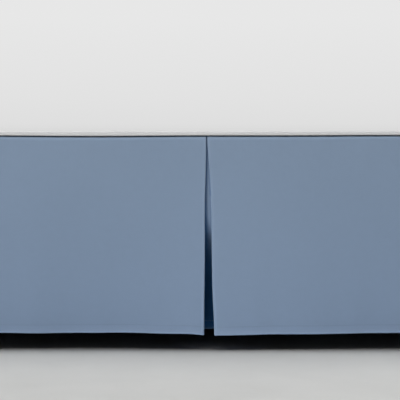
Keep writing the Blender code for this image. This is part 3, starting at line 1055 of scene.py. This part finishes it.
class SKIRT_OT_turn_legs(bpy.types.Operator):
    """Turns the legs: tapered beech with a softened foot and a dark glide under it"""

    bl_idname = "skirt.turn_legs"
    bl_label = "Turn the legs"

    def execute(self, context):
        wood = wood_material(settings().beech)
        dark = glide_material()
        for node in sorted(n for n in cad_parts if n.startswith("leg_")):
            lo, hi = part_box(node)
            obj, glide_faces = self.turned(node + "_turned", (lo + hi) / 2, (hi.x - lo.x) / 2, hi.z)
            finish_piece(obj, wood, "leg_wood", node)
            obj.data.materials.append(dark)
            glide = np.zeros(len(obj.data.polygons), np.int32)
            glide[:glide_faces] = 1
            obj.data.polygons.foreach_set("material_index", glide)
        return {"FINISHED"}

    def turned(self, name, centre, top_radius, height):
        """Surface of revolution: a profile of radius against height, turned round the leg's axis.

        Above a glide 3 mm high, a quarter circle leads to a straight taper from the foot to the top. Gives
        the piece and the number of faces on its glide.
        """
        foot_radius = top_radius * 19 / 26
        rim = foot_radius - 0.003
        edge = 0.002
        low, high = 0.006, height - 0.009
        profile = [(0.0005, 0.0), (foot_radius - 0.004, 0.0), (rim, 0.001), (rim, 0.003)]
        glide_faces = (len(profile) - 1) * LEG_SIDES
        for a in np.linspace(0, np.pi / 2, 5):
            profile.append((foot_radius - edge + edge * math.sin(a), 0.003 + edge * (1 - math.cos(a))))
        for share in np.linspace(0.02, 1, 14):
            level = low + share * high
            profile.append((foot_radius + (top_radius - foot_radius) * (level / height), level))
        profile += [(top_radius - 0.001, height - 0.0004), (0.0005, height)]
        around = np.linspace(0, 2 * np.pi, LEG_SIDES, endpoint=False)
        radius, level = (column[:, None] for column in np.array(profile).T)
        rings = (centre.x + radius * np.cos(around), centre.y + radius * np.sin(around), level + 0 * around)
        return ringed_solid(name, np.stack(rings, axis=-1), centre.x, centre.y, 40), glide_faces


class SKIRT_OT_set_stage(bpy.types.Operator):
    """Sets the floor, the light and the camera"""

    bl_idname = "skirt.set_stage"
    bl_label = "Set the stage"

    def execute(self, context):
        self.lights(self.floor())
        self.world()
        self.camera()
        context.scene.view_settings.view_transform = "Standard"
        return {"FINISHED"}

    def floor(self):
        """A level square of pale floor."""
        edge = np.linspace(-FLOOR_HALF, FLOOR_HALF, 9)
        x, y = np.meshgrid(edge, edge[::-1])
        points = np.stack([x, y, 0 * x + FLOOR_LEVEL], axis=-1)
        obj = mesh_object("floor", points, grid_faces(*x.shape), smooth=False)
        obj.data.materials.append(floor_material(studio().floor))
        return obj

    def lights(self, floor):
        """Lights for the bed, and others for the floor.

        Daylight and a steep soft key come from the left of the foot and light all but the floor. A narrow and
        a wide light from above light the floor alone. Two fills light both, and don't reach the foot's face.
        """
        daylight = self.lamp("daylight", "SUN", studio().daylight, 13.0, (-2.4, -3.2, 5.6), FOOT_FACE)
        key = self.lamp("key", "AREA", studio().key_power, 0.75, (-0.36, -1.78, 1.90), (-0.05, -1.0, 0.2))
        self.lamp("right fill", "AREA", studio().fill_power, 3.0, (4.6, 0.8, 2.6), (0.8, 0.2, 0.2))
        self.lamp("back fill", "AREA", studio().fill_power, 3.0, (-0.8, 5.2, 3.2), (0.0, 1.0, 0.2))
        above = []
        for name, share, width, lean in FLOOR_LIGHTS:
            x, y, z = FOOT_FACE
            place = (x, y + 5 * math.tan(math.radians(lean)), z + 5)
            above.append(self.lamp(name, "SUN", share * studio().floor_light, width, place, FOOT_FACE))
        self.link_to_floor("all but the floor", (daylight, key), floor, "EXCLUDE")
        self.link_to_floor("the floor alone", above, floor, "INCLUDE")

    def lamp(self, name, kind, strength, width, place, target):
        """A sun that is so many degrees wide, or a square light that is so many metres wide."""
        light = bpy.data.lights.new(name, kind)
        light.energy = strength
        if kind == "SUN":
            light.angle = math.radians(width)
        else:
            light.size = width
        obj = bpy.data.objects.new(name, light)
        obj.location = place
        obj.rotation_mode = "QUATERNION"
        obj.rotation_quaternion = (Vector(target) - Vector(place)).to_track_quat("-Z", "Y")
        bpy.context.scene.collection.objects.link(obj)
        return obj

    def link_to_floor(self, name, lamps, floor, state):
        """Keeps the lamps' light off the floor (EXCLUDE) or on the floor alone (INCLUDE)."""
        receivers = bpy.data.collections.new(name)
        receivers.objects.link(floor)
        receivers.collection_objects[0].light_linking.link_state = state
        for lamp in lamps:
            lamp.light_linking.receiver_collection = receivers

    def world(self):
        """Pale to the camera, brighter away from the horizon, and dim and even as a light."""
        world = bpy.data.worlds.new("studio")
        bpy.context.scene.world = world
        world.use_nodes = True
        tree = world.node_tree
        tree.nodes.clear()
        up = split_axes(tree, add(tree, "TexCoord").outputs["Generated"])["Z"]
        ramp = add(tree, "ValToRGB", {"Fac": up})
        stops = ramp.color_ramp.elements
        for position, level in BACKDROP:
            stop = stops[0] if position == 0 else stops.new(position)
            stop.color = (level, level, level, 1.0)
        stops.remove(stops[-1])
        seen = add(tree, "Background", {"Color": ramp.outputs["Color"]})
        lit = add(tree, "Background", {"Color": (0.93, 0.97, 1.0, 1.0), "Strength": 0.05})
        camera_ray = add(tree, "LightPath").outputs["Is Camera Ray"]
        mix = add(tree, "MixShader", {"Fac": camera_ray, 1: lit.outputs[0], 2: seen.outputs[0]})
        add(tree, "OutputWorld", {"Surface": mix.outputs[0]})

    def camera(self):
        """Face on to the foot, just below the deck's top, at the distance that a drop of 199 pixels gives."""
        centre = PICTURE_SIDE / 2
        focal = studio().lens / SENSOR * PICTURE_SIDE
        metres_per_pixel = studio().distance / focal
        height = DECK_TOP - CAMERA_BELOW_DECK
        horizon = SEAM_ROW - (height - SEAM_HEIGHT) / metres_per_pixel
        pitch = math.atan((centre - horizon) / focal)
        camera = bpy.data.cameras.new("camera")
        camera.lens = studio().lens
        camera.sensor_width = SENSOR
        obj = bpy.data.objects.new("camera", camera)
        face = BASE_LO.y - PANEL_FACE_OUT
        obj.location = (-(PLEAT_COLUMN - centre) * metres_per_pixel, face - studio().distance, height)
        obj.rotation_euler = (math.radians(90) - pitch, 0, 0)
        bpy.context.scene.collection.objects.link(obj)
        bpy.context.scene.camera = obj


class SKIRT_PT_panel(bpy.types.Panel):
    """Lists the steps that make the skirt"""

    bl_idname = "SKIRT_PT_panel"
    bl_label = "Bed skirt"
    bl_space_type = "VIEW_3D"
    bl_region_type = "UI"
    bl_category = "Bed skirt"

    def draw(self, context):
        for operator in OPERATORS:
            self.layout.operator(operator.bl_idname)
        for group in (settings(), studio()):
            for name in group.__annotations__:
                self.layout.prop(group, name)


OPERATORS = (
    SKIRT_OT_cover_base,
    SKIRT_OT_turn_legs,
    SKIRT_OT_lay_deck,
    SKIRT_OT_hang_drops,
    SKIRT_OT_sew_hems,
    SKIRT_OT_set_stage,
)
CLASSES = (SkirtSettings, StudioSettings, *OPERATORS, SKIRT_PT_panel)


def register():
    for cls in CLASSES:
        bpy.utils.register_class(cls)
    bpy.types.Scene.skirt_settings = bpy.props.PointerProperty(type=SkirtSettings)
    bpy.types.Scene.skirt_studio = bpy.props.PointerProperty(type=StudioSettings)


def unregister():
    del bpy.types.Scene.skirt_studio
    del bpy.types.Scene.skirt_settings
    for cls in reversed(CLASSES):
        bpy.utils.unregister_class(cls)


def main():
    register()
    bpy.ops.skirt.cover_base()
    bpy.ops.skirt.turn_legs()
    bpy.ops.skirt.lay_deck()
    bpy.ops.skirt.hang_drops()
    bpy.ops.skirt.sew_hems()
    bpy.ops.skirt.set_stage()
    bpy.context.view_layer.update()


if __name__ == "__main__":
    main()
